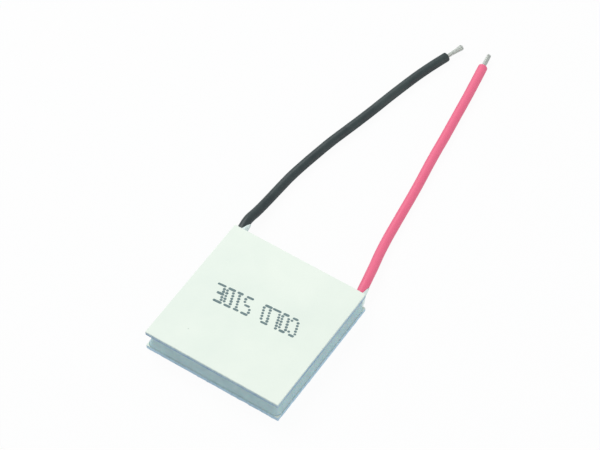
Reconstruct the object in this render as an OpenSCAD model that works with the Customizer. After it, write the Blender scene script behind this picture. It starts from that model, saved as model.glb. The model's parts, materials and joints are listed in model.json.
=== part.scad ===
// Thermoelectric cooling module: two ceramic plates hold a series chain of P and N pellets,
// joined by copper tabs, sealed round the edge with silicone and fed by two soldered leads.
// Origin at the centre of the hot face. +Z points to the cold face, and the leads come out
// of the +Y edge: the black one near the -X corner, the red one near the +X corner.

/* [Ceramic plates] */
// Side of the square ceramic plates
plate_w = 23; // [20:0.5:30]
// Thickness of each ceramic plate
plate_t = 0.8; // [0.5:0.05:1.2]
// Radius of a plate's upright corners
plate_corner_r = 0.15; // [0.05:0.05:0.4]

/* [Pellets and tabs] */
// Side of a square semiconductor pellet
pellet_w = 0.9; // [0.7:0.05:1.1]
// Height of a pellet between its solder films
pellet_h = 2; // [1.8:0.1:3]
// Thickness of a solder film between a pellet and a tab
solder_t = 0.05; // [0.03:0.01:0.1]
// Thickness of the copper tabs
tab_t = 0.25; // [0.15:0.05:0.4]
// Width of copper that shows past a pellet's side
tab_border = 0.15; // [0.05:0.05:0.2]
// Bare ceramic between the outermost tabs and a plate's edge
tab_margin = 1; // [0.9:0.05:1.5]

/* [Edge seal] */
// How far the seal's two rims stay back from a plate's edge
seal_recess = 0.3; // [0.1:0.05:0.4]
// Depth of the hollow along the middle of the seal's outer face
seal_hollow = 0.3; // [0.1:0.05:0.35]
// Space between the outermost tabs and the seal's inner face
seal_gap = 0.1; // [0.05:0.05:0.15]

/* [Leads] */
// Outer diameter of a lead's jacket
lead_d = 1.5; // [1:0.1:1.7]
// Diameter of the tinned strands inside the jacket
strand_d = 0.7; // [0.4:0.05:0.8]
// Distance of the black lead from the plate's side where it crosses the edge
black_inset = 0.55; // [0.3:0.05:1.2]
// Distance of the red lead from the plate's side where it crosses the edge
red_inset = 1.4; // [0.5:0.05:1.6]
// Sideways run of the black lead for each millimetre out of the plates
black_lean = 0.15; // [0:0.05:0.2]
// Sideways run of the red lead for each millimetre out of the plates
red_lean = 0.2; // [0:0.05:0.3]
// Length of lead held inside the edge of the plates
lead_hold = 1; // [0.8:0.1:1.2]
// Radial space between a jacket and the silicone round it
lead_clearance = 0.02; // [0.01:0.01:0.05]
// Length of the black lead's bare end
black_bare = 3.3; // [1:0.1:6]
// Length of the red lead's bare end
red_bare = 2.7; // [1:0.1:6]
// Diameter of the black lead's strands where they fray at the cut end
fray_d = 0.95; // [0.7:0.05:1.2]
// Diameter of the black lead's strands where they leave the jacket
neck_d = 0.5; // [0.3:0.05:0.7]

/* [Lead sealant] */
// How far the sealant climbs along the straight start of the black lead
black_climb = 3; // [2:0.25:4]
// How far the sealant climbs along the straight start of the red lead
red_climb = 4; // [2:0.25:5]
// Slant of the sealant's end on the black lead
black_slant = 45; // [20:5:60]
// Slant of the sealant's end on the red lead
red_slant = 70; // [30:5:75]
// Thickness of the sealant round a lead at the plate's edge
sealant_foot = 0.5; // [0.2:0.05:0.6]
// Thickness of the sealant round a lead at its thin end
sealant_lip = 0.08; // [0.05:0.01:0.2]

/* [Solder joints] */
// Height of the solder mound over the strands on a terminal tab
mound_h = 0.85; // [0.75:0.05:1.1]

/* [Hidden] */
$fn = 48;
GRID = 12;                      // pellet sites along each side
LAST = GRID - 1;
BLACK = 0;                      // column of the black lead's terminal
RED = LAST;                     // column of the red lead's terminal

tab_w = pellet_w + 2 * tab_border;
tab_reach = plate_w / 2 - tab_margin;               // outer edge of the outermost tabs
pitch = (2 * tab_reach - tab_w) / LAST;
solder_z = plate_t + tab_t;                         // top of the hot tabs
pellet_z = solder_z + solder_t;
cold_solder_z = pellet_z + pellet_h;
cold_tab_z = cold_solder_z + solder_t;
cold_plate_z = cold_tab_z + tab_t;
plate_gap = cold_plate_z - plate_t;

seal_wall = tab_margin - seal_gap - seal_recess;    // thickness of the seal at its rims
hollow_r = (pow(plate_gap / 2, 2) + pow(seal_hollow, 2)) / (2 * seal_hollow);

lead_r = lead_d / 2;
strand_r = strand_d / 2;
exit_z = solder_z + lead_r;                         // jackets start level with the tabs' tops
strand_run = 0.25;                                  // how far the strands cross a terminal's centre
black_exit = [black_inset - plate_w / 2, plate_w / 2];
red_exit = [plate_w / 2 - red_inset, plate_w / 2];
PASSAGE = 8;                                        // length of the bore cut for a lead
JACKET_SIDES = 8;

// Route of each lead from its exit: sideways, outwards, and the share of the exit height
// that is left, 1 at the plates and 0 where the jacket lies on the ground. The first
// stretch is straight, as far as the sealant climbs.
BLACK_ROUTE = [
    [0, 0, 1], [-black_lean * black_climb, black_climb, 1],
    [-0.35, 5.5, 0.65], [-0.3, 8, 0.35], [-0.25, 11, 0.1], [-0.1, 14, 0], [0.3, 17, 0],
    [0.8, 20, 0], [1.35, 23, 0], [2.05, 26, 0], [2.75, 29, 0], [3.4, 32, 0], [4, 35, 0],
    [4.65, 38, 0], [5.35, 41, 0], [6.2, 44, 0], [7.15, 46.9, 0]];
RED_ROUTE = [
    [0, 0, 1], [-red_lean * red_climb, red_climb, 1],
    [-1.4, 6.5, 0.65], [-2.05, 9, 0.3], [-2.65, 12, 0.08], [-3.1, 15, 0], [-3.5, 18, 0],
    [-3.9, 21, 0], [-4.35, 24, 0], [-4.85, 27, 0], [-5.3, 30, 0], [-5.7, 33, 0],
    [-6.15, 36, 0], [-6.6, 39, 0], [-7.05, 42, 0], [-7.55, 45, 0], [-8.1, 48.2, 0]];

// ---------------------------------------------------------------- names of the nodes

function two_digits(n) = n < 10 ? str("0", n) : str(n);
function column_name(kind, c) = str(kind, "_column_", two_digits(c + 1));
function pair_name(kind, c) = str(kind, "_columns_", two_digits(c + 1), "_", two_digits(c + 2));

// ---------------------------------------------------------------- the chain of pellets

// Centre of a pellet site, columns along +X and rows along +Y
function site(c, r) = [(c - LAST / 2) * pitch, (r - LAST / 2) * pitch];
// The two rear corner sites carry the leads instead of a pellet
function has_pellet(c, r) = r < LAST || (c != BLACK && c != RED);
// P and N pellets alternate along the chain, which makes a chequerboard
function is_p(c, r) = (c + r) % 2 == 0;
// Last row on which a tab along a column can start: the columns with a terminal are one
// pellet short at the rear
function last_tab_row(c) = c == BLACK || c == RED ? LAST - 2 : LAST - 1;

// A flat tab under the two neighbouring sites a and b
module tab(a, b, z) {
    low = [min(a.x, b.x), min(a.y, b.y)];
    span = [abs(a.x - b.x), abs(a.y - b.y)];
    translate([low.x - tab_w / 2, low.y - tab_w / 2, z])
        cube([span.x + tab_w, span.y + tab_w, tab_t]);
}

// The tabs that lie along one column, from the first row on
module column_tabs(c, first, z) {
    for (r = [first:2:last_tab_row(c)])
        tab(site(c, r), site(c, r + 1), z);
}

// The tabs that join a column to the next one along the row at the front or the rear
module bridges(row, first) {
    for (c = [first:2:LAST - 1])
        tab(site(c, row), site(c + 1, row), cold_tab_z);
}

module pellets(c, p_type) {
    for (r = [0:LAST])
        if (has_pellet(c, r) && is_p(c, r) == p_type)
            translate([site(c, r).x - pellet_w / 2, site(c, r).y - pellet_w / 2, pellet_z])
                cube([pellet_w, pellet_w, pellet_h]);
}

module p_pellets(c) {
    color("dimgray") pellets(c, true);
}

module n_pellets(c) {
    color("slategray") pellets(c, false);
}

module solder_films(z) {
    color("silver")
        for (c = [0:LAST], r = [0:LAST])
            if (has_pellet(c, r))
                translate([site(c, r).x - pellet_w / 2, site(c, r).y - pellet_w / 2, z])
                    cube([pellet_w, pellet_w, solder_t]);
}

module hot_tabs(c) {
    color("peru")
        for (k = [c, c + 1])
            column_tabs(k, 0, plate_t);
}

module cold_tabs(c) {
    color("peru")
        for (k = [c, c + 1])
            column_tabs(k, 1, cold_tab_z);
}

module cold_bridges_front() {
    color("peru") bridges(0, 0);
}

module cold_bridges_rear() {
    color("peru") bridges(LAST, 1);
}

module terminal_tab(c) {
    color("peru") tab(site(c, LAST - 1), site(c, LAST), plate_t);
}

// ---------------------------------------------------------------- plates and seal

module plate(z) {
    core = plate_w - 2 * plate_corner_r;
    color("honeydew")
        translate([0, 0, z])
            linear_extrude(plate_t)
                union() {
                    square([core, plate_w], center = true);
                    square([plate_w, core], center = true);
                    for (x = [-1, 1], y = [-1, 1])
                        translate([x * core / 2, y * core / 2])
                            circle(plate_corner_r);
                }
}

module hot_plate() {
    plate(0);
}

module cold_plate() {
    plate(cold_plate_z);
}

// Section of the seal: x runs outwards from the tabs' edge, y upwards from the hot plate
module seal_section() {
    difference() {
        translate([seal_gap, 0])
            square([seal_wall, plate_gap]);
        translate([seal_gap + seal_wall - seal_hollow + hollow_r, plate_gap / 2])
            circle(hollow_r, $fn = 96);
    }
}

// The closed ring of silicone, straight along each side and turned round each corner
module seal_ring() {
    translate([0, 0, plate_t])
        for (turn = [0:90:270])
            rotate([0, 0, turn]) {
                translate([tab_reach, tab_reach])
                    rotate([90, 0, 0])
                        linear_extrude(2 * tab_reach)
                            seal_section();
                translate([tab_reach, tab_reach])
                    rotate_extrude(angle = 90)
                        seal_section();
            }
}

module perimeter_seal() {
    color("lightsteelblue")
        difference() {
            seal_ring();
            lead_passage(BLACK, black_exit, BLACK_ROUTE);
            lead_passage(RED, red_exit, RED_ROUTE);
        }
}

// ---------------------------------------------------------------- leads

// A route's point in the module's frame
function on_route(exit, p) =
    [exit.x + p.x, exit.y + p.y, lead_r + p.z * (exit_z - lead_r)];
// The start of the jacket, held inside the plates on the line of the first stretch
function held_end(exit, route) =
    on_route(exit, [-route[1].x * lead_hold / route[1].y, -lead_hold, 1]);
function centreline(exit, route) =
    concat([held_end(exit, route)], [for (p = route) on_route(exit, p)]);

function unit(v) = v / norm(v);
function heading(line, i) =
    unit(line[min(i + 1, len(line) - 1)] - line[max(i - 1, 0)]);
// Points of one ring round the centreline
function ring(p, along, r) =
    let (side = unit(cross(along, [0, 0, 1])), up = cross(side, along))
    [for (k = [0:JACKET_SIDES - 1])
        let (a = 360 * (k + 0.5) / JACKET_SIDES)
        p + r * (cos(a) * side + sin(a) * up)];

// A tube of constant radius swept along a centreline, closed by a flat face at each end
module swept_tube(line, r) {
    n = JACKET_SIDES;
    rings = len(line);
    points = [for (i = [0:rings - 1]) each ring(line[i], heading(line, i), r)];
    walls = [for (i = [0:rings - 2], k = [0:n - 1])
        [i * n + k, i * n + (k + 1) % n, (i + 1) * n + (k + 1) % n, (i + 1) * n + k]];
    first_face = [for (k = [n - 1:-1:0]) k];
    last_face = [for (k = [0:n - 1]) (rings - 1) * n + k];
    polyhedron(points, concat([first_face], walls, [last_face]), convexity = 4);
}

// Puts children at a point with their +Z along a direction
module aim(p, along) {
    translate(p)
        rotate([0, acos(along.z), atan2(along.y, along.x)])
            children();
}

function exit_heading(exit, route) =
    unit(on_route(exit, route[1]) - on_route(exit, route[0]));

// End of the strands, which cross the free half of their terminal tab aslant
function over_terminal(c) =
    concat(site(c, LAST) + strand_run * [c == BLACK ? 1 : -1, -1], solder_z + strand_r);

// All that lies above the plane z = 0
module above_plane() {
    translate([-plate_w / 2, -plate_w / 2, 0])
        cube(plate_w);
}

// Straight round bore along the start of a lead, just clear of the jacket's held end
module lead_bore(exit, route) {
    along = exit_heading(exit, route);
    aim(held_end(exit, route) - lead_clearance * along, along)
        cylinder(h = PASSAGE, r = lead_r + lead_clearance);
}

// Strands from the jacket's held end, cut flush with it, down to the terminal tab
module root_strands(c, exit, route, r) {
    start = held_end(exit, route);
    along = unit(over_terminal(c) - start);
    difference() {
        aim(start - lead_d * along, along)
            cylinder(h = lead_d + norm(over_terminal(c) - start), r = r);
        aim(start, exit_heading(exit, route))
            above_plane();
    }
}

// Room that the lead takes up inside the silicone
module lead_passage(c, exit, route) {
    lead_bore(exit, route);
    root_strands(c, exit, route, strand_r + lead_clearance);
}

module lead_jacket(exit, route) {
    swept_tube(centreline(exit, route), lead_r);
}

module lead_root(c, exit, route) {
    color("gainsboro") root_strands(c, exit, route, strand_r);
}

// Bare strands past the far end of the jacket, from a neck to the cut end
module lead_tip(exit, route, bare, d_neck, d_cut) {
    line = centreline(exit, route);
    color("gainsboro")
        aim(line[len(line) - 1], heading(line, len(line) - 1))
            cylinder(h = bare, d1 = d_neck, d2 = d_cut);
}

module black_lead_jacket() {
    color("darkslategray") lead_jacket(black_exit, BLACK_ROUTE);
}

module red_lead_jacket() {
    color("palevioletred") lead_jacket(red_exit, RED_ROUTE);
}

module black_lead_tip() {
    lead_tip(black_exit, BLACK_ROUTE, black_bare, neck_d, fray_d);
}

module red_lead_tip() {
    lead_tip(red_exit, RED_ROUTE, red_bare, strand_d, strand_d);
}

// Solder mound over the strands on the free half of a terminal tab
module solder_joint(c, exit, route) {
    base_r = tab_w / 2;
    ball_r = (pow(base_r, 2) + pow(mound_h, 2)) / (2 * mound_h);
    color("silver")
        difference() {
            intersection() {
                translate(concat(site(c, LAST), solder_z + mound_h - ball_r))
                    sphere(ball_r);
                translate(concat(site(c, LAST) - [base_r, base_r], solder_z))
                    cube([tab_w, tab_w, mound_h]);
            }
            lead_bore(exit, route);
            root_strands(c, exit, route, strand_r);
        }
}

// The half-space beyond a plane that passes through the lip on the +X side of a lead and
// leans back towards the plates on the other side
module slant_cut(slant) {
    translate([0, -lead_r - sealant_lip, 0])
        rotate([-slant, 0, 0])
            above_plane();
}

// Sealant that fills the seal's hollow round a lead, swells at the plate's edge and climbs
// along the jacket's +X side to a thin slanting lip
module lead_sealant(exit, route, climb, slant) {
    filled = seal_recess + seal_hollow;
    waist_r = lead_r + sealant_foot / 3;
    along = exit_heading(exit, route);
    color("mintcream")
        difference() {
            intersection() {
                aim(on_route(exit, route[0]) - filled * along, along) {
                    rotate_extrude()
                        polygon([
                            [0, 0], [lead_r + sealant_foot, 0], [lead_r + sealant_foot, filled],
                            [waist_r, filled + sealant_foot], [0, filled + sealant_foot]]);
                    difference() {
                        cylinder(h = filled + climb, r1 = waist_r, r2 = lead_r + sealant_lip);
                        translate([0, 0, filled + climb])
                            slant_cut(slant);
                    }
                }
                translate([-plate_w, 0, plate_t])
                    cube([2 * plate_w, 2 * plate_w, plate_gap]);
            }
            seal_ring();
            lead_bore(exit, route);
        }
}

module black_lead_sealant() {
    lead_sealant(black_exit, BLACK_ROUTE, black_climb, black_slant);
}

module red_lead_sealant() {
    lead_sealant(red_exit, RED_ROUTE, red_climb, red_slant);
}

// ---------------------------------------------------------------- the nodes

hot_plate();
cold_plate();
perimeter_seal();
black_lead_jacket();
red_lead_jacket();
lead_root(BLACK, black_exit, BLACK_ROUTE);  // black_lead_root
lead_root(RED, red_exit, RED_ROUTE);  // red_lead_root
black_lead_tip();
red_lead_tip();
black_lead_sealant();
red_lead_sealant();
solder_joint(BLACK, black_exit, BLACK_ROUTE);  // black_solder_joint
solder_joint(RED, red_exit, RED_ROUTE);  // red_solder_joint
terminal_tab(BLACK);  // black_terminal_tab
terminal_tab(RED);  // red_terminal_tab
for (c = [0:LAST]) {
    p_pellets(c);
    n_pellets(c);
}
for (c = [0:2:LAST]) {
    hot_tabs(c);
    cold_tabs(c);
}
cold_bridges_front();
cold_bridges_rear();
solder_films(solder_z);  // hot_solder_films
solder_films(cold_solder_z);  // cold_solder_films
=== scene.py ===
"""Dresses the thermoelectric cooling module: two ceramic plates round a sealed chain of
pellets, with a black and a red lead. All sizes are in millimetres until a mesh is placed."""

import json
import logging
import math
import random
from dataclasses import dataclass, field
from enum import Enum

import bmesh
import bpy
from mathutils import Matrix, Vector, noise
from mathutils.geometry import interpolate_bezier


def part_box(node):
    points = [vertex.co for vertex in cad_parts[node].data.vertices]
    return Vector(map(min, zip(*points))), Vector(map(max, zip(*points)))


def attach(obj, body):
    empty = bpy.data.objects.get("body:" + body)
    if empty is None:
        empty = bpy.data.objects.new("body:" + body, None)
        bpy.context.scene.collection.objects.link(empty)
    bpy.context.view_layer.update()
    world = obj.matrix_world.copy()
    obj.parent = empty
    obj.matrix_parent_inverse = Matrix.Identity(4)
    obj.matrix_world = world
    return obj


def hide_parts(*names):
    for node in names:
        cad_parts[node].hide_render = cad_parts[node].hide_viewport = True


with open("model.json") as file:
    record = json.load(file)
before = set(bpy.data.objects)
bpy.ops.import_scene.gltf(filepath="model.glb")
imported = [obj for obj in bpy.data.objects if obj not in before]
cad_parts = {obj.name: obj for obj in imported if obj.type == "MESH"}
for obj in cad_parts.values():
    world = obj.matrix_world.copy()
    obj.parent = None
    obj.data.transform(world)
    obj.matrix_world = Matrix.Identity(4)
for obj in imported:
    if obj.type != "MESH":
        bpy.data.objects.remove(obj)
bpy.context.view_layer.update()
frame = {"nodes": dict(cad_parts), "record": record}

LOG = logging.getLogger("cooling_module")
MM = 0.001
BODY = "root"
Colour = tuple[float, float, float]
Point = tuple[float, float, float]


# ------------------------------------------------------------------ shader bench


class ShaderBench:
    """A material with one Principled shader, and short ways to drive its sockets."""

    def __init__(self, name: str) -> None:
        """Starts an empty finish.

        Args:
            name: The material's name.
        """
        self.material = bpy.data.materials.new(name)
        self.material.use_nodes = True
        self.nodes = self.material.node_tree.nodes
        self.links = self.material.node_tree.links
        self.shader = self.nodes["Principled BSDF"]

    def add(self, kind: str, **settings: object) -> bpy.types.Node:
        """Adds a node and sets its properties.

        Args:
            kind: The node's type, without its ShaderNode prefix.
            settings: Property names and values.

        Returns:
            The new node.
        """
        node = self.nodes.new("ShaderNode" + kind)
        for key, value in settings.items():
            setattr(node, key, value)
        return node

    def feed(self, socket: bpy.types.NodeSocket, value: object) -> None:
        """Links a socket to another one, or sets its number.

        Args:
            socket: The input to drive.
            value: An output socket, or a plain value.
        """
        if isinstance(value, bpy.types.NodeSocket):
            self.links.new(value, socket)
        else:
            socket.default_value = value

    def place(self, stretch: Point = (1, 1, 1)) -> bpy.types.NodeSocket:
        """Object coordinates, stretched along the axes.

        Args:
            stretch: How much finer the pattern gets along X, Y and Z.

        Returns:
            The vector output.
        """
        mapping = self.add("Mapping")
        mapping.inputs["Scale"].default_value = stretch
        self.links.new(self.add("TexCoord").outputs["Object"], mapping.inputs["Vector"])
        return mapping.outputs["Vector"]

    def noise(self, grain_mm: float, detail: float = 4, rough: float = 0.55,
              stretch: Point = (1, 1, 1)) -> bpy.types.NodeSocket:
        """Soft noise with grains of a real size.

        Args:
            grain_mm: Size of the largest grains.
            detail: Number of finer octaves.
            rough: Strength of the finer octaves.
            stretch: How much finer the grain gets along each axis.

        Returns:
            The factor output, from 0 to 1.
        """
        node = self.add("TexNoise")
        self.feed(node.inputs["Vector"], self.place(stretch))
        node.inputs["Scale"].default_value = 1 / (grain_mm * MM)
        node.inputs["Detail"].default_value = detail
        node.inputs["Roughness"].default_value = rough
        return node.outputs["Fac"]

    def cells(self, grain_mm: float, stretch: Point = (1, 1, 1)) -> bpy.types.NodeSocket:
        """Distance to the nearest of many scattered points.

        Args:
            grain_mm: Mean distance between the points.
            stretch: How much finer the cells get along each axis.

        Returns:
            The distance output.
        """
        node = self.add("TexVoronoi")
        self.feed(node.inputs["Vector"], self.place(stretch))
        node.inputs["Scale"].default_value = 1 / (grain_mm * MM)
        return node.outputs["Distance"]

    def ramp(self, factor: bpy.types.NodeSocket,
             stops: list[tuple[float, Colour]]) -> bpy.types.NodeSocket:
        """Colours along a factor.

        Args:
            factor: What drives the ramp.
            stops: Positions and linear colours.

        Returns:
            The colour output.
        """
        node = self.add("ValToRGB")
        band = node.color_ramp.elements
        while len(band) < len(stops):
            band.new(1)
        for element, (position, colour) in zip(band, stops):
            element.position = position
            element.color = (*colour, 1)
        self.feed(node.inputs["Fac"], factor)
        return node.outputs["Color"]

    def spread(self, factor: bpy.types.NodeSocket, low: float, high: float,
               start: float = 0.3, end: float = 0.7) -> bpy.types.NodeSocket:
        """A factor mapped to a range.

        Args:
            factor: What is mapped.
            low: Result at start.
            high: Result at end.
            start: Factor that gives low.
            end: Factor that gives high.

        Returns:
            The result output.
        """
        node = self.add("MapRange")
        self.feed(node.inputs["Value"], factor)
        for name, value in (("From Min", start), ("From Max", end), ("To Min", low),
                            ("To Max", high)):
            node.inputs[name].default_value = value
        return node.outputs["Result"]

    def mixed(self, factor: object, a: object, b: object,
              mode: str = "MIX") -> bpy.types.NodeSocket:
        """Two colours mixed.

        Args:
            factor: Share of b.
            a: First colour.
            b: Second colour.
            mode: Blend type.

        Returns:
            The colour output.
        """
        node = self.add("MixRGB", blend_type=mode)
        self.feed(node.inputs["Fac"], factor)
        for socket, colour in ((node.inputs["Color1"], a), (node.inputs["Color2"], b)):
            self.feed(socket, (*colour, 1) if isinstance(colour, tuple) else colour)
        return node.outputs["Color"]

    def bump(self, height: bpy.types.NodeSocket, depth_mm: float,
             strength: float = 1, under: bpy.types.NodeSocket | None = None
             ) -> bpy.types.NodeSocket:
        """Relief of a real depth.

        Args:
            height: What lifts the surface.
            depth_mm: Depth of the relief.
            strength: Share of that depth.
            under: A coarser relief below this one.

        Returns:
            The normal output.
        """
        node = self.add("Bump")
        node.inputs["Distance"].default_value = depth_mm * MM
        node.inputs["Strength"].default_value = strength
        self.feed(node.inputs["Height"], height)
        if under is not None:
            self.feed(node.inputs["Normal"], under)
        return node.outputs["Normal"]

    def put(self, **values: object) -> None:
        """Sets sockets of the Principled shader, with _ for a space in a name.

        Args:
            values: Socket names and their values or sources.
        """
        for name, value in values.items():
            self.feed(self.shader.inputs[name.replace("_", " ")], value)


# ------------------------------------------------------------------ finishes


@dataclass(frozen=True)
class Finish:
    """A surface finish. Each kind fills in dress()."""

    name: str

    def dress(self, bench: ShaderBench) -> None:
        """Builds the nodes of this finish."""
        raise NotImplementedError

    def material(self) -> bpy.types.Material:
        """The finish's material, made once."""
        made = bpy.data.materials.get(self.name)
        if made is None:
            bench = ShaderBench(self.name)
            self.dress(bench)
            made = bench.material
        return made


@dataclass(frozen=True)
class GroundAlumina(Finish):
    """The lapped broad face of an alumina plate."""

    body: Colour
    pale: Colour
    cloud_mm: float = 9
    grain_mm: float = 0.12
    speck_mm: float = 4.7

    def dress(self, bench: ShaderBench) -> None:
        """Faint clouds, a fine lapping grain and a few dull specks."""
        clouds = bench.noise(self.cloud_mm, 3)
        tint = bench.ramp(clouds, [(0.35, self.body), (0.68, self.pale)])
        grain = bench.noise(self.grain_mm, 6, 0.7)
        grey = bench.ramp(grain, [(0.3, (0.955, 0.955, 0.955)), (0.55, (1, 1, 1))])
        specks = bench.ramp(bench.cells(self.speck_mm),
                            [(0.012, (0.72, 0.76, 0.74)), (0.03, (1, 1, 1))])
        tint = bench.mixed(1.0, tint, specks, "MULTIPLY")
        bench.put(Base_Color=bench.mixed(1.0, tint, grey, "MULTIPLY"),
                  Roughness=bench.spread(grain, 0.5, 0.66),
                  Normal=bench.bump(grain, 0.006, 0.35),
                  Specular_IOR_Level=0.4)


@dataclass(frozen=True)
class SnappedEdgePaintedShade(Finish):
    """The side of an alumina plate, scribed and snapped, with painted shade in colour bands up its
    height.
    """

    top: Colour
    middle: Colour
    foot: Colour
    z_top: float
    z_foot: float
    wander_mm: float = 2.2
    scribe_mm: float = 0.16
    broken_mm: float = 0.35
    speck_mm: float = 3.1

    def dress(self, bench: ShaderBench) -> None:
        """Colour bands of painted shade up the side, with scribe streaks, a rough broken relief
        and dark specks.
        """
        # Painted shade: the colour follows height up the side, darkest next to the seal's groove,
        # with a little noise in where the bands fall.
        split = bench.add("SeparateXYZ")
        bench.feed(split.inputs["Vector"], bench.place())
        wander = bench.noise(self.wander_mm, 3)
        height = bench.add("Math", operation="ADD")
        bench.feed(height.inputs[0], bench.spread(
            split.outputs["Z"], 0, 1, self.z_foot * MM, self.z_top * MM))
        bench.feed(height.inputs[1], bench.spread(wander, -0.12, 0.12))
        tint = bench.ramp(height.outputs["Value"], [
            (0.1, self.foot), (0.36, self.middle), (0.6, self.middle), (0.95, self.top)])
        scribes = bench.noise(self.scribe_mm, 3, 0.6, (1, 1, 0.15))
        streaks = bench.ramp(scribes, [(0.36, (0.82, 0.84, 0.86)), (0.56, (1, 1, 1))])
        specks = bench.ramp(bench.cells(self.speck_mm),
                            [(0.03, (0.3, 0.33, 0.36)), (0.06, (1, 1, 1))])
        tint = bench.mixed(1.0, tint, streaks, "MULTIPLY")
        broken = bench.noise(self.broken_mm, 5, 0.65)
        bench.put(Base_Color=bench.mixed(1.0, tint, specks, "MULTIPLY"),
                  Roughness=bench.spread(broken, 0.45, 0.7),
                  Normal=bench.bump(scribes, 0.02, 0.5, bench.bump(broken, 0.05, 0.5)),
                  Specular_IOR_Level=0.4)


@dataclass(frozen=True)
class CuredSilicone(Finish):
    """Cured silicone, smooth and faintly cloudy."""

    body: Colour
    thin: Colour
    wave_mm: float = 1.6
    skin_mm: float = 0.2

    def dress(self, bench: ShaderBench) -> None:
        """Cloudy colour, soft waves left by the nozzle and a satin skin."""
        clouds = bench.noise(self.wave_mm, 4)
        skin = bench.noise(self.skin_mm, 4)
        bench.put(Base_Color=bench.ramp(clouds, [(0.35, self.body), (0.65, self.thin)]),
                  Roughness=bench.spread(clouds, 0.32, 0.5),
                  Subsurface_Weight=0.15, Subsurface_Scale=0.0004,
                  Normal=bench.bump(skin, 0.008, 0.4, bench.bump(clouds, 0.06, 0.5)))


@dataclass(frozen=True)
class WireInsulation(Finish):
    """The drawn plastic jacket of a lead. Its colour turns lighter from one Y to another."""

    body: Colour
    far_tone: Colour
    gloss: float
    tone_y_range: tuple[float, float] = (12, 62)
    patch_mm: float = 3.5
    grain_mm: float = 0.14
    dulling: float = 0.14

    def dress(self, bench: ShaderBench) -> None:
        """A colour that turns lighter along Y, dulled patches and a fine grain."""
        patches = bench.noise(self.patch_mm, 4, 0.6)
        grain = bench.noise(self.grain_mm, 5, 0.65)
        split = bench.add("SeparateXYZ")
        bench.feed(split.inputs["Vector"], bench.place())
        near, far = (y * MM for y in self.tone_y_range)
        # The tone turns lighter towards larger Y, with patches shifting it.
        lighter_share = bench.add("Math", operation="ADD")
        bench.feed(lighter_share.inputs[0], bench.spread(split.outputs["Y"], 0.12, 0.3, near, far))
        bench.feed(lighter_share.inputs[1], bench.spread(patches, -0.18, 0.18))
        tint = bench.ramp(lighter_share.outputs["Value"], [(0.05, self.body), (0.95, self.far_tone)])
        shade = bench.ramp(grain, [(0.35, (0.93, 0.93, 0.93)), (0.6, (1, 1, 1))])
        bench.put(Base_Color=bench.mixed(1.0, tint, shade, "MULTIPLY"),
                  Roughness=bench.spread(patches, self.gloss, self.gloss + self.dulling),
                  Normal=bench.bump(grain, 0.006, 0.4, bench.bump(patches, 0.05, 0.4)),
                  Specular_IOR_Level=0.45)


@dataclass(frozen=True)
class BareMetal(Finish):
    """Tinned strands, solder or copper."""

    body: Colour
    dull: Colour
    gloss: float
    grain_mm: float
    metal: float = 1
    relief: float = 0.4

    def dress(self, bench: ShaderBench) -> None:
        """Patches of tarnish on a finely marked metal."""
        patches = bench.noise(self.grain_mm * 5, 4, 0.6)
        marks = bench.noise(self.grain_mm, 4, 0.6)
        bench.put(Base_Color=bench.ramp(patches, [(0.36, self.dull), (0.62, self.body)]),
                  Metallic=self.metal,
                  Roughness=bench.spread(marks, self.gloss, self.gloss + 0.2),
                  Normal=bench.bump(marks, self.grain_mm * 0.06, self.relief))


@dataclass(frozen=True)
class CrystalAlloy(Finish):
    """A diced pellet of crystalline alloy with bright cleavage planes."""

    body: Colour
    bright: Colour

    def dress(self, bench: ShaderBench) -> None:
        """Layers along the pellet's height, broken by small facets."""
        facets = bench.cells(0.3, (1, 1, 0.4))
        saw = bench.noise(0.08, 3, 0.5, (0.3, 0.3, 1.6))
        bench.put(Base_Color=bench.ramp(facets, [(0.2, self.bright), (0.55, self.body)]),
                  Metallic=0.9, Roughness=bench.spread(facets, 0.3, 0.55, 0.1, 0.6),
                  Normal=bench.bump(saw, 0.01, 0.5))


@dataclass(frozen=True)
class DotInk(Finish):
    """Thin printed ink with a worn, uneven coat."""

    body: Colour
    thin: Colour

    def dress(self, bench: ShaderBench) -> None:
        """Uneven cover over the plate's grain."""
        cover = bench.noise(0.18, 4, 0.6)
        bench.put(Base_Color=bench.ramp(cover, [(0.35, self.body), (0.7, self.thin)]),
                  Roughness=bench.spread(cover, 0.5, 0.65),
                  Normal=bench.bump(cover, 0.004, 0.4))


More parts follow.
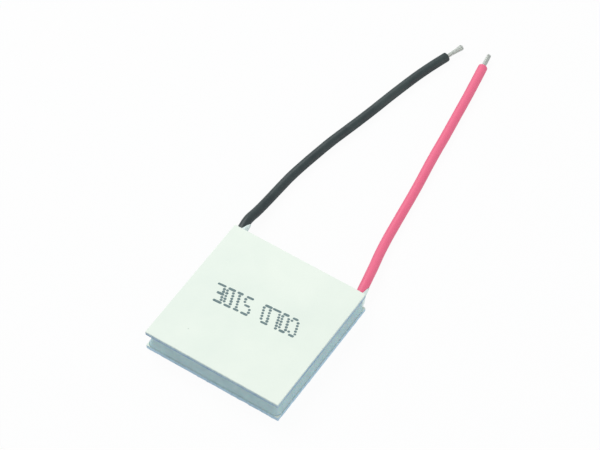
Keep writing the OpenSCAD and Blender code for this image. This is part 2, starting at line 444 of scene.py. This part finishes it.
UPPER_FACE = GroundAlumina("lapped_alumina", (0.795, 0.875, 0.79), (0.84, 0.91, 0.82))
# Painted shade on the upper plate's side: pale at the top, down to a dark blue band at its foot by
# the seal's groove.
UPPER_EDGE = SnappedEdgePaintedShade("upper_edge_painted_shade", (0.66, 0.79, 0.76), (0.44, 0.59, 0.66),
                         (0.14, 0.24, 0.52), 4.2, 3.4)
# Painted shade on the lower plate's side: bluish, darker at its top by the seal's groove.
LOWER_EDGE = SnappedEdgePaintedShade("lower_edge_painted_shade", (0.47, 0.66, 0.73), (0.54, 0.74, 0.88),
                         (0.60, 0.80, 0.96), 0.8, 0)
INK = DotInk("print_ink", (0.10, 0.165, 0.175), (0.18, 0.265, 0.27))
SLOT_FINISHES: dict[str, Finish] = {
    "ceramic": UPPER_FACE,
    # Painted shade: the edge seal's white silicone is given a dark blue-grey, the shade of its
    # hollow between the plates.
    "silicone": CuredSilicone("edge_silicone_painted_shade", (0.42, 0.58, 0.61), (0.48, 0.65, 0.67)),
    "lead_silicone": CuredSilicone("lead_silicone", (0.70, 0.86, 0.80), (0.80, 0.93, 0.87),
                                   wave_mm=0.9),
    "black_jacket": WireInsulation("black_insulation", (0.018, 0.031, 0.034),
                                   (0.075, 0.108, 0.100), gloss=0.32),
    "red_jacket": WireInsulation("red_insulation", (0.87, 0.145, 0.26),
                                 (0.90, 0.19, 0.315), gloss=0.38),
    "tinned_strands": BareMetal("tinned_strands", (0.60, 0.66, 0.56), (0.48, 0.54, 0.45),
                                gloss=0.42, grain_mm=0.12, metal=0.5, relief=0.12),
    "solder": BareMetal("dull_solder", (0.72, 0.73, 0.74), (0.5, 0.51, 0.52),
                        gloss=0.25, grain_mm=0.15),
    "copper": BareMetal("flat_copper", (0.87, 0.45, 0.28), (0.6, 0.27, 0.15),
                        gloss=0.25, grain_mm=0.12),
    "p_semiconductor": CrystalAlloy("p_alloy", (0.25, 0.25, 0.27), (0.55, 0.55, 0.58)),
    "n_semiconductor": CrystalAlloy("n_alloy", (0.33, 0.34, 0.37), (0.62, 0.63, 0.66)),
}


# ------------------------------------------------------------------ mesh helpers


def as_piece(name: str, bm: bmesh.types.BMesh, finishes: list[Finish],
             replaced: tuple[str, ...] = ()) -> bpy.types.Object:
    """Turns a finished mesh, drawn in millimetres, into a piece of the module.

    Args:
        name: The piece's name.
        bm: Its mesh, which is used up.
        finishes: Its finishes, by material index.
        replaced: The nodes of the frame that it stands for.

    Returns:
        The new object, riding on the module's body.
    """
    bmesh.ops.scale(bm, vec=(MM, MM, MM), verts=bm.verts)
    bmesh.ops.recalc_face_normals(bm, faces=bm.faces)
    mesh = bpy.data.meshes.new(name)
    bm.to_mesh(mesh)
    bm.free()
    for finish in finishes:
        mesh.materials.append(finish.material())
    piece = bpy.data.objects.new(name, mesh)
    bpy.context.scene.collection.objects.link(piece)
    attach(piece, BODY)
    if replaced:
        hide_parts(*replaced)
    LOG.info("%s: %d faces", name, len(mesh.polygons))
    return piece


def frames_along(line: list[Vector]) -> list[Matrix]:
    """Frames that turn as little as they can along a line.

    Args:
        line: The points.

    Returns:
        One matrix a point, its Z along the line.
    """
    last = len(line) - 1
    frames = []
    side: Vector | None = None
    for i, point in enumerate(line):
        along = (line[min(i + 1, last)] - line[max(i - 1, 0)]).normalized()
        side = (Vector((0, 0, 1)).cross(along) if side is None
                else side - along * side.dot(along)).normalized()
        up = along.cross(side)
        frame_now = Matrix((side, up, along)).transposed().to_4x4()
        frame_now.translation = point
        frames.append(frame_now)
    return frames


def sweep(bm: bmesh.types.BMesh, line: list[Vector], radii: list[float],
          sides: int) -> None:
    """Sweeps a closed round tube along a line.

    Args:
        bm: The mesh to add to.
        line: The centreline's points.
        radii: The radius at each point.
        sides: Number of sides.
    """
    start = len(bm.faces)
    frames = frames_along(line)
    circle = bmesh.ops.create_circle(bm, segments=sides, radius=1)["verts"]
    edges = list({e for v in circle for e in v.link_edges})
    rings = [frames[i] @ Matrix.Scale(radii[i], 4) for i in range(len(line))]
    bmesh.ops.transform(bm, matrix=rings[0], verts=circle)
    ends = [edges]
    for before, after in zip(rings, rings[1:]):
        grown = bmesh.ops.extrude_edge_only(bm, edges=edges)["geom"]
        edges = [g for g in grown if isinstance(g, bmesh.types.BMEdge)]
        verts = [g for g in grown if isinstance(g, bmesh.types.BMVert)]
        bmesh.ops.transform(bm, matrix=after @ before.inverted(), verts=verts)
    ends.append(edges)
    bm.faces.ensure_lookup_table()
    for face in bm.faces[start:]:
        face.smooth = True
    for loop in ends:
        bmesh.ops.edgeloop_fill(bm, edges=loop)


def smooth_route(points: list[Vector], straight: int, steps: int) -> list[Vector]:
    """A smooth curve through a route's points.

    Args:
        points: The route.
        straight: How many of the first points lie on one straight line.
        steps: Points from one route point to the next.

    Returns:
        The curve's points.
    """
    last = len(points) - 1
    heads = [(points[min(i + 1, last)] - points[max(i - 1, 0)]).normalized()
             for i in range(last + 1)]
    for i in range(straight):
        heads[i] = (points[straight - 1] - points[0]).normalized()
    curve = [points[0]]
    for i in range(last):
        reach = (points[i + 1] - points[i]).length / 3
        curve += interpolate_bezier(points[i], points[i] + heads[i] * reach,
                                    points[i + 1] - heads[i + 1] * reach,
                                    points[i + 1], steps + 1)[1:]
    return curve


# ------------------------------------------------------------------ sub-assemblies


ROUTE_STEPS = 6
CUT_END = ((0.16, 1), (0.06, 0.975), (0.015, 0.93), (0, 0.86))
LOWER_FACE_Z = 0.8
BLACK_EXIT = (-10.95, 11.5)
RED_EXIT = (10.1, 11.5)
# Each step of a route: how far it is from the exit along X and along Y, and how much of
# the exit's height it still has.
BLACK_ROUTE = ((-0.35, 5.5, 0.65), (-0.3, 8, 0.35), (-0.25, 11, 0.1), (-0.1, 14, 0),
               (0.3, 17, 0), (0.8, 20, 0), (1.35, 23, 0), (2.05, 26, 0), (2.75, 29, 0),
               (3.4, 32, 0), (4, 35, 0), (4.65, 38, 0), (5.35, 41, 0), (6.2, 44, 0),
               (7.15, 46.9, 0))
RED_ROUTE = ((-1.4, 6.5, 0.65), (-2.05, 9, 0.3), (-2.65, 12, 0.08), (-3.1, 15, 0),
             (-3.5, 18, 0), (-3.9, 21, 0), (-4.35, 24, 0), (-4.85, 27, 0), (-5.3, 30, 0),
             (-5.7, 33, 0), (-6.15, 36, 0), (-6.6, 39, 0), (-7.05, 42, 0), (-7.55, 45, 0),
             (-8.1, 48.2, 0))


@dataclass(frozen=True)
class Panel:
    """A soft square lamp. Its place, its aim and its side are in millimetres."""

    name: str
    place: Point
    aim: Point
    side: float
    watts: float

    def build(self) -> None:
        """Hangs the lamp and turns it to its aim."""
        data = bpy.data.lights.new(self.name, "AREA")
        data.size = self.side * MM
        data.energy = self.watts
        lamp = bpy.data.objects.new(self.name, data)
        bpy.context.scene.collection.objects.link(lamp)
        lamp.location = Vector(self.place) * MM
        lamp.rotation_mode = "QUATERNION"
        lamp.rotation_quaternion = (Vector(self.aim) - Vector(self.place)).to_track_quat("-Z", "Y")


@dataclass
class Studio:
    """The camera, the pale floor and the soft light."""

    lens: float = 180
    sensor: float = 36
    azimuth: float = 34.03
    elevation: float = 53.45
    roll: float = -0.56
    eye: Point = (144.03, -201.71, 359.61)
    sky: float = 0.66
    floor_colour: Colour = (0.74, 0.75, 0.76)
    floor_half: float = 3000
    floor_drop: float = 0.03
    floor_glow: float = 0.95
    panels: tuple[Panel, ...] = (
        Panel("key_panel", (-240, 110, 330), (0, 15, 0), 260, 0.88),
        Panel("fill_panel", (320, -10, 45), (5, 5, 2), 160, 0.22))

    def camera(self) -> None:
        """Makes the camera, with its roll about the line of sight."""
        az, el, roll = (math.radians(a) for a in (self.azimuth, self.elevation, self.roll))
        back = Vector((math.sin(az) * math.cos(el), -math.cos(az) * math.cos(el),
                       math.sin(el)))
        right = (-back).cross(Vector((0, 0, 1))).normalized()
        up = right.cross(-back)
        side = math.cos(roll) * right + math.sin(roll) * up
        top = -math.sin(roll) * right + math.cos(roll) * up
        data = bpy.data.cameras.new("studio_camera")
        data.lens = self.lens
        data.sensor_width = self.sensor
        data.clip_start = 0.02
        data.clip_end = 20
        cam = bpy.data.objects.new("studio_camera", data)
        bpy.context.scene.collection.objects.link(cam)
        turn = Matrix((side, top, back)).transposed().to_4x4()
        turn.translation = Vector(self.eye) * MM
        cam.matrix_world = turn
        bpy.context.scene.camera = cam

    def floor(self) -> None:
        """Makes a plain pale floor that reads as white and keeps the shadow."""
        bm = bmesh.new()
        bmesh.ops.create_grid(bm, x_segments=1, y_segments=1, size=self.floor_half * MM)
        bmesh.ops.translate(bm, vec=(0, 0, -self.floor_drop * MM), verts=bm.verts)
        mesh = bpy.data.meshes.new("floor")
        bm.to_mesh(mesh)
        bm.free()
        floor = bpy.data.objects.new("floor", mesh)
        bpy.context.scene.collection.objects.link(floor)
        bench = ShaderBench("pale_floor")
        bench.put(Base_Color=(*self.floor_colour, 1), Roughness=0.9, Specular_IOR_Level=0.1)
        glow = bench.add("Emission")
        glow.inputs["Color"].default_value = (1, 1, 1, 1)
        path = bench.add("LightPath")
        share = bench.add("Math", operation="MULTIPLY")
        bench.feed(share.inputs[0], path.outputs["Is Camera Ray"])
        share.inputs[1].default_value = self.floor_glow
        mix = bench.add("MixShader")
        bench.feed(mix.inputs["Fac"], share.outputs["Value"])
        bench.links.new(bench.shader.outputs["BSDF"], mix.inputs[1])
        bench.links.new(glow.outputs["Emission"], mix.inputs[2])
        bench.links.new(mix.outputs["Shader"],
                        bench.nodes["Material Output"].inputs["Surface"])
        mesh.materials.append(bench.material)

    def sky_light(self) -> None:
        """Makes an even sky that reads as white to the camera."""
        world = bpy.data.worlds.new("studio_sky")
        bpy.context.scene.world = world
        world.use_nodes = True
        nodes, links = world.node_tree.nodes, world.node_tree.links
        base = nodes["Background"]
        base.inputs["Color"].default_value = (0.965, 0.985, 1, 1)
        base.inputs["Strength"].default_value = self.sky
        seen = nodes.new("ShaderNodeBackground")
        seen.inputs["Color"].default_value = (1, 1, 1, 1)
        path = nodes.new("ShaderNodeLightPath")
        mix = nodes.new("ShaderNodeMixShader")
        links.new(path.outputs["Is Camera Ray"], mix.inputs["Fac"])
        links.new(base.outputs["Background"], mix.inputs[1])
        links.new(seen.outputs["Background"], mix.inputs[2])
        links.new(mix.outputs["Shader"], nodes["World Output"].inputs["Surface"])

    def build(self) -> None:
        """Makes the whole studio."""
        self.camera()
        self.floor()
        self.sky_light()
        for panel in self.panels:
            panel.build()
        bpy.context.scene.view_settings.view_transform = "Standard"


class Polarity(Enum):
    """The two leads of the module, by the colour of their jackets."""

    NEGATIVE = "black"
    POSITIVE = "red"


@dataclass
class Lead:
    """One lead: its jacket, which lies loose on the ground, and its bare strands."""

    polarity: Polarity
    exit_xy: tuple[float, float]
    lean: float
    climb: float
    route: tuple[Point, ...]
    bare: float
    neck_d: float
    cut_d: float
    strands: int
    twist: float
    seed: int
    jacket_d: float = 1.5
    hold: float = 1
    exit_z: float = 1.8
    waver: float = 0.006
    sides: int = 32
    strand_sides: int = 16
    strand_steps: int = 18
    packing: float = 1.9
    tucked: float = 0.05

    @property
    def colour(self) -> str:
        """The colour that its nodes are named by."""
        return self.polarity.value

    def centreline(self) -> list[Vector]:
        """The smooth line of the jacket, in millimetres."""
        radius = self.jacket_d / 2

        def at(dx: float, dy: float, lift: float) -> Vector:
            """A point of the route in the module's frame."""
            return Vector((self.exit_xy[0] + dx, self.exit_xy[1] + dy,
                           radius + lift * (self.exit_z - radius)))

        points = [at(self.lean * self.hold, -self.hold, 1), at(0, 0, 1),
                  at(-self.lean * self.climb, self.climb, 1)]
        points += [at(*step) for step in self.route]
        return smooth_route(points, 2, ROUTE_STEPS)

    def jacket(self, line: list[Vector]) -> bpy.types.Object:
        """Builds the jacket, with a softly cut far end.

        Args:
            line: Its centreline.

        Returns:
            The jacket's piece.
        """
        radius = self.jacket_d / 2
        rng = random.Random(self.seed)
        along = (line[-1] - line[-2]).normalized()
        body = line[:-1] + [line[-1] - along * back for back, _ in CUT_END]
        radii = [radius * (1 + rng.uniform(-self.waver, self.waver)) for _ in line[:-1]]
        radii += [radius * share for _, share in CUT_END]
        bm = bmesh.new()
        sweep(bm, body, radii, self.sides)
        name = self.colour + "_lead"
        return as_piece(name + "_insulation", bm, [SLOT_FINISHES[self.colour + "_jacket"]],
                        (name + "_jacket",))

    def strand(self, line: list[Vector], number: int, rng: random.Random
               ) -> tuple[list[Vector], list[float]]:
        """Draws one strand of the bare end, or the core that the others lie round.

        Args:
            line: The jacket's centreline.
            number: Which strand it is. The last one is the core.
            rng: Source of the strands' unevenness.

        Returns:
            Its points, and its radius at each.
        """
        core = number == self.strands
        along = (line[-1] - line[-2]).normalized()
        side = Vector((0, 0, 1)).cross(along).normalized()
        up = along.cross(side)
        wire_share = self.packing * math.sin(math.pi / self.strands)
        phase = 2 * math.pi * number / self.strands + rng.uniform(-0.1, 0.1)
        reach = self.bare * (0.97 if core else rng.uniform(0.94, 1))
        points, radii = [], []
        for step in range(self.strand_steps + 1):
            t = step / self.strand_steps
            bundle_r = (self.neck_d + (self.cut_d - self.neck_d) * t ** 1.5) / 2
            wire_r = bundle_r * wire_share / (2 + wire_share)
            angle = phase + self.twist * t
            offset = side * math.cos(angle) + up * math.sin(angle)
            points.append(line[-1] + along * (reach * t - self.tucked)
                          + offset * (0 if core else bundle_r - wire_r))
            radii.append(bundle_r - wire_r * 0.5 if core else wire_r)
        radii[-1] *= 0.55
        radii[-2] *= 0.9
        points[-1] = points[-2] + (points[-1] - points[-2]) * 0.45
        return points, radii

    def tip(self, line: list[Vector]) -> bpy.types.Object:
        """Builds the twisted strands at the bare end.

        Args:
            line: The jacket's centreline.

        Returns:
            The strands' piece.
        """
        rng = random.Random(self.seed + 1)
        bm = bmesh.new()
        for number in range(self.strands + 1):
            points, radii = self.strand(line, number, rng)
            sweep(bm, points, radii, self.strand_sides)
        name = self.colour + "_lead"
        return as_piece(name + "_strands", bm, [SLOT_FINISHES["tinned_strands"]],
                        (name + "_tip",))

    def build(self) -> None:
        line = self.centreline()
        jacket = self.jacket(line)
        tip = self.tip(line)


@dataclass
class CeramicPlate:
    """A square alumina plate, snapped from a scribed sheet."""

    name: str
    node: str
    edge: SnappedEdgePaintedShade
    seed: int
    corner: float = 0.15
    rim: float = 0.06
    rim_steps: int = 2
    chip: float = 0.03
    face_tilt: float = 0.35
    cuts: int = 70

    def build(self) -> None:
        """Builds the plate, with small chips along its rims."""
        low, high = (Vector(v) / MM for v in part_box(self.node))
        bm = bmesh.new()
        bmesh.ops.create_cube(bm, size=1)
        bmesh.ops.scale(bm, vec=high - low, verts=bm.verts)
        bmesh.ops.translate(bm, vec=(low + high) / 2, verts=bm.verts)
        thick = high.z - low.z
        uprights = [e for e in bm.edges
                    if abs(e.verts[0].co.z - e.verts[1].co.z) > thick / 2]
        bmesh.ops.bevel(bm, geom=uprights, offset=self.corner, affect="EDGES", segments=3,
                        profile=0.5, material=-1)
        long_edges = [e for e in bm.edges if e.calc_length() > 2 * thick]
        bmesh.ops.subdivide_edges(bm, edges=long_edges, cuts=self.cuts, use_grid_fill=False)
        self.chip_sides(bm, (low + high) / 2)
        rims = [e for e in bm.edges if len(e.link_faces) == 2
                and abs(e.link_faces[0].normal.z - e.link_faces[1].normal.z) > 0.5]
        bmesh.ops.bevel(bm, geom=rims, offset=self.rim, affect="EDGES",
                        segments=self.rim_steps, profile=0.5, material=-1)
        bm.normal_update()
        # Side faces take the edge finish, which carries the painted shade.
        for face in bm.faces:
            face.material_index = 0 if abs(face.normal.z) > self.face_tilt else 1
        as_piece(self.name, bm, [UPPER_FACE, self.edge], (self.node,))

    def chip_sides(self, bm: bmesh.types.BMesh, middle: Vector) -> None:
        """Draws the points of the sides in by small random depths.

        Args:
            bm: The plate's mesh.
            middle: The plate's centre.
        """
        rng = random.Random(self.seed)
        for vert in bm.verts:
            inward = Vector((middle.x - vert.co.x, middle.y - vert.co.y, 0))
            if abs(inward.x) < abs(inward.y):
                inward.x = 0
            else:
                inward.y = 0
            vert.co += inward.normalized() * self.chip * rng.random() ** 3


@dataclass
class EdgeSeal:
    """The ring of silicone between the plates, drawn in by the nozzle along its middle."""

    node: str = "perimeter_seal"
    corner: float = 10.5
    inner: float = 0.1
    upper_rim: float = 0.72
    lower_rim: float = 0.98
    hollow: float = 0.3
    levels: int = 12
    corner_steps: int = 8
    side_steps: int = 42
    wave: float = 0.035
    wave_pitch: float = 0.6
    lead_exits: tuple[tuple[float, float], ...] = (BLACK_EXIT, RED_EXIT)
    lead_reach: float = 2.6
    lead_fill: float = 0.9

    def section(self, bm: bmesh.types.BMesh, floor: float, roof: float
                ) -> tuple[list[bmesh.types.BMVert], list[bmesh.types.BMEdge]]:
        """Draws the ring's closed section where a corner starts.

        Args:
            bm: The mesh to draw it in.
            floor: Height of the lower plate's face.
            roof: Height of the upper plate's face.

        Returns:
            Its points and its edges.
        """
        points = [bm.verts.new((self.corner + self.inner, self.corner, roof))]
        for k in range(self.levels + 1):
            t = k / self.levels
            out = self.upper_rim + (self.lower_rim - self.upper_rim) * t * t
            out -= self.hollow * math.sin(math.pi * t) ** 0.8
            points.append(bm.verts.new((self.corner + out, self.corner,
                                        roof + (floor - roof) * t)))
        points.append(bm.verts.new((self.corner + self.inner, self.corner, floor)))
        ends = points[1:] + points[:1]
        return points, [bm.edges.new(pair) for pair in zip(points, ends)]

    def build(self) -> None:
        """Builds the ring from one side and one corner, turned round four times."""
        low, high = (Vector(v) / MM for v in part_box(self.node))
        bm = bmesh.new()
        section, edges = self.section(bm, low.z, high.z)
        bmesh.ops.spin(bm, geom=section + edges, cent=(self.corner, self.corner, 0),
                       axis=(0, 0, 1), angle=math.pi / 2, steps=self.corner_steps)
        moved = edges
        for _ in range(self.side_steps):
            grown = bmesh.ops.extrude_edge_only(bm, edges=moved)["geom"]
            moved = [g for g in grown if isinstance(g, bmesh.types.BMEdge)]
            bmesh.ops.translate(bm, vec=(0, -2 * self.corner / self.side_steps, 0),
                                verts=[g for g in grown if isinstance(g, bmesh.types.BMVert)])
        quarter = list(bm.verts) + list(bm.edges) + list(bm.faces)
        for turn in (90, 180, 270):
            copy = bmesh.ops.duplicate(bm, geom=quarter)["geom"]
            bmesh.ops.rotate(bm, cent=(0, 0, 0), matrix=Matrix.Rotation(
                math.radians(turn), 3, "Z"),
                verts=[g for g in copy if isinstance(g, bmesh.types.BMVert)])
        bmesh.ops.remove_doubles(bm, verts=bm.verts, dist=0.001)
        for vert in bm.verts:
            self.settle(vert, low.z, high.z)
        for face in bm.faces:
            face.smooth = True
        as_piece("edge_silicone_ring", bm, [SLOT_FINISHES["silicone"]], (self.node,))

    def settle(self, vert: bmesh.types.BMVert, floor: float, roof: float) -> None:
        """Gives a point of the outer face its waves, and fills the hollow near a lead.

        Args:
            vert: The point to move.
            floor: Height of the lower plate's face.
            roof: Height of the upper plate's face.
        """
        flat = Vector((vert.co.x, vert.co.y, 0))
        root = Vector((max(-self.corner, min(self.corner, flat.x)),
                       max(-self.corner, min(self.corner, flat.y)), 0))
        out = flat - root
        if out.length < self.inner * 1.5:
            return
        reach = out.length
        depth = math.sin(math.pi * (vert.co.z - floor) / (roof - floor))
        reach += self.wave * depth * noise.noise(vert.co * self.wave_pitch)
        nearest = min((flat - Vector((*spot, 0))).length for spot in self.lead_exits)
        near = max(0.0, 1 - nearest / self.lead_reach)
        near = near * near * (3 - 2 * near)
        reach += (max(reach, self.lead_fill) - reach) * min(1, 1.6 * near)
        vert.co.xy = (root + out.normalized() * reach).xy


@dataclass
class LeadSealant:
    """The silicone that climbs along the right side of a lead, and thins out to a lip."""

    lead: Lead
    climb: float
    slant: float
    bounds_x: tuple[float, float]
    stand: float = 0.06
    fullness: float = 1
    lip: float = 0.06
    sides: int = 40
    profile: tuple[tuple[float, float], ...] = (
        (-1.1, 0.36), (-0.2, 0.36), (0.15, 0.3), (0.5, 0.18), (0.9, 0.11), (1.5, 0.09),
        (2.4, 0.075))

    def build(self) -> None:
        """Builds it as a flared sleeve, cut off aslant and trimmed to the plates."""
        line = self.lead.centreline()
        outlet = line[ROUTE_STEPS]
        along = (line[2 * ROUTE_STEPS] - outlet).normalized()
        right = along.cross(Vector((0, 0, 1))).normalized()
        radius = self.lead.jacket_d / 2
        stops = (*self.profile, (self.climb + 0.3, self.lip))
        bm = bmesh.new()
        sweep(bm, [outlet + along * place for place, _ in stops],
              [radius + film * self.fullness for _, film in stops], self.sides)
        top = outlet + along * self.climb + right * (radius + self.stand)
        lean = math.radians(self.slant)
        cuts = ((top, along * math.cos(lean) - right * math.sin(lean)),
                (Vector((0, 0, LOWER_FACE_Z)), Vector((0, 0, -1))),
                (Vector((self.bounds_x[0], 0, 0)), Vector((-1, 0, 0))),
                (Vector((self.bounds_x[1], 0, 0)), Vector((1, 0, 0))))
        for place, normal in cuts:
            parts = list(bm.verts) + list(bm.edges) + list(bm.faces)
            cut = bmesh.ops.bisect_plane(bm, geom=parts, plane_co=place, plane_no=normal,
                                         clear_outer=True)["geom_cut"]
            rim = [g for g in cut if isinstance(g, bmesh.types.BMEdge)]
            if rim:
                bmesh.ops.holes_fill(bm, edges=rim)
        name = self.lead.colour + "_lead"
        as_piece(name + "_silicone_film", bm, [SLOT_FINISHES["lead_silicone"]],
                 (name + "_sealant",))


@dataclass
class SideMark:
    """Plain words in dots of ink that say which side of the module is the cold one."""

    words: str = "COLD SIDE"
    centre: tuple[float, float] = (-0.20, 0.41)
    advance: tuple[float, float] = (-1.535, -0.104)
    rise: tuple[float, float] = (1.0, -2.76)
    dot_d: float = 0.43
    smear: float = 1.1
    pitches: float = 6.1
    lift: float = 0.004
    patterns: dict[str, tuple[int, ...]] = field(default_factory=lambda: {
        "C": (14, 17, 16, 16, 16, 17, 14), "O": (14, 17, 17, 17, 17, 17, 14),
        "L": (16, 16, 16, 16, 16, 16, 31), "D": (30, 17, 17, 17, 17, 17, 30),
        "S": (15, 16, 16, 14, 1, 1, 30), "I": (14, 4, 4, 4, 4, 4, 14),
        "E": (31, 16, 16, 30, 16, 16, 31), " ": (0,) * 7})

    @staticmethod
    def runs(bits: int) -> list[tuple[int, int]]:
        """Splits one row of a letter into runs of touching dots.

        Args:
            bits: The row's five dots, the first one highest.

        Returns:
            The first and last column of each run.
        """
        found: list[tuple[int, int]] = []
        for column in range(5):
            if not bits >> (4 - column) & 1:
                continue
            if found and found[-1][1] == column - 1:
                found[-1] = (found[-1][0], column)
            else:
                found.append((column, column))
        return found

    def dash(self, bm: bmesh.types.BMesh, spot: Vector, step: Vector, gaps: int,
             rng: random.Random) -> None:
        """Prints one dot, or a dash of dots that ran together.

        Args:
            bm: The mesh to add to.
            spot: Centre of its first dot.
            step: Way and distance from one letter to the next.
            gaps: How many dots follow the first.
            rng: Source of the ink's unevenness.
        """
        radius = self.dot_d / 2 * rng.uniform(0.88, 1.08)
        verts = bmesh.ops.create_circle(bm, cap_ends=True, segments=16, radius=radius)["verts"]
        bmesh.ops.scale(bm, vec=(self.smear, 1, 1), verts=verts)
        front = [v for v in verts if v.co.x > 0.2 * radius]
        bmesh.ops.translate(bm, vec=(gaps * step.length / self.pitches, 0, 0), verts=front)
        shake = Vector((rng.uniform(-0.02, 0.02), rng.uniform(-0.02, 0.02), 0))
        turn = Matrix.Rotation(math.atan2(step.y, step.x), 4, "Z")
        bmesh.ops.transform(bm, matrix=Matrix.Translation(spot + shake) @ turn, verts=verts)

    def build(self) -> None:
        """Builds every dot and dash of ink as a thin flat."""
        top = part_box("cold_plate")[1].z / MM
        step = Vector((*self.advance, 0))
        rise = Vector((*self.rise, 0))
        origin = Vector((*self.centre, top + self.lift)) - step * (len(self.words) - 1) / 2
        rng = random.Random(7)
        bm = bmesh.new()
        for place, letter in enumerate(self.words):
            for row, bits in enumerate(self.patterns[letter]):
                for first, last in self.runs(bits):
                    self.dash(bm, origin + step * (place + (first - 2) / self.pitches)
                              + rise * ((3 - row) / 6), step, last - first, rng)
        for face in bm.faces:
            if face.normal.z < 0:
                face.normal_flip()
        as_piece("side_marking", bm, [INK])


@dataclass
class InnerWorks:
    """The frame's own nodes, each of which takes the finish of its material slot."""

    nodes: dict[str, bpy.types.Object]
    slots: dict[str, str]

    def build(self) -> None:
        """Gives each node its finish."""
        for name, node in self.nodes.items():
            made = SLOT_FINISHES[self.slots[name]].material()
            if not node.material_slots:
                node.data.materials.append(made)
            for place in node.material_slots:
                place.material = made
        LOG.info("%d nodes dressed", len(self.nodes))


def main() -> None:
    """Builds the studio and the module."""
    logging.basicConfig(level=logging.INFO, format="%(message)s")
    Studio().build()
    black = Lead(Polarity.NEGATIVE, BLACK_EXIT, lean=0.15, climb=3, route=BLACK_ROUTE,
                 bare=3.3, neck_d=0.55, cut_d=0.95, strands=13, twist=0.5, seed=11)
    red = Lead(Polarity.POSITIVE, RED_EXIT, lean=0.2, climb=4, route=RED_ROUTE,
               bare=2.7, neck_d=0.7, cut_d=0.7, strands=13, twist=1.1, seed=23)
    black.build()
    red.build()
    CeramicPlate("upper_ceramic_plate", "cold_plate", UPPER_EDGE, seed=3, rim=0.11,
                 rim_steps=4, face_tilt=0.55).build()
    CeramicPlate("lower_ceramic_plate", "hot_plate", LOWER_EDGE, seed=5, chip=0.05,
                 face_tilt=0.9).build()
    EdgeSeal().build()
    LeadSealant(black, climb=3.1, slant=68, bounds_x=(-11.8, 11.5), stand=0.35,
                fullness=1.6).build()
    LeadSealant(red, climb=3.7, slant=77, bounds_x=(-11.5, 11.46), stand=0.35).build()
    SideMark().build()
    slots = {p["node"]: p["material_slot"] for p in frame["record"]["subparts"]}
    InnerWorks(frame["nodes"], slots).build()


if __name__ == "__main__":
    main()
